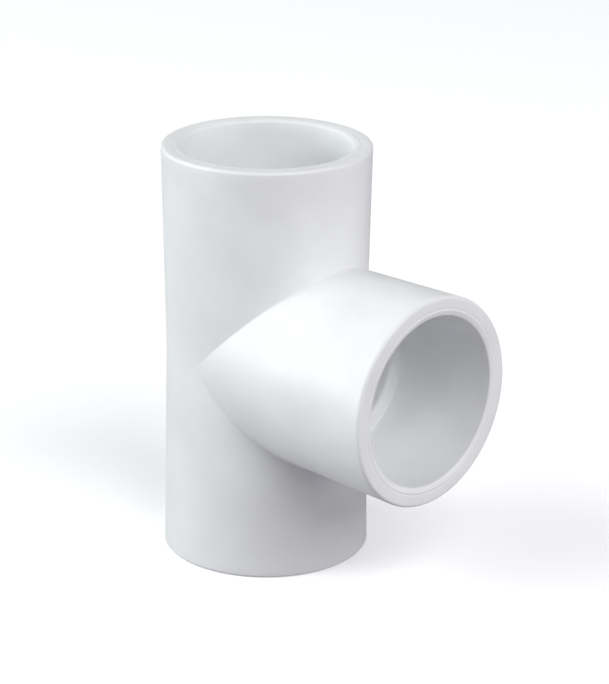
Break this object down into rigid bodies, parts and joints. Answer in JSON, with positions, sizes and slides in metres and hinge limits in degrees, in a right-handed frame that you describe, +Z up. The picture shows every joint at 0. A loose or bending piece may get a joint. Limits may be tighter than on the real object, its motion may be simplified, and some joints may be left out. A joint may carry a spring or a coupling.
{
  "type": "pipe tee fitting",
  "caption": "Plain right-angle tee for solvent-welded plastic pipe: a straight run with a socket at each end and an equal branch socket at its middle.",
  "frame": {"origin": "centre of the lower run socket's mouth, which the tee stands on", "axes": "+Z up along the run, +X out of the branch"},
  "size_m": [0.062, 0.0394, 0.0794],
  "materials": {
    "white_pvc": "white PVC-U, glossy as moulded"
  },
  "bodies": {
    "root": {"upper_socket": "white_pvc", "lower_socket": "white_pvc", "run_barrel": "white_pvc", "branch_neck": "white_pvc", "branch_socket": "white_pvc"}
  },
  "joints": []
}
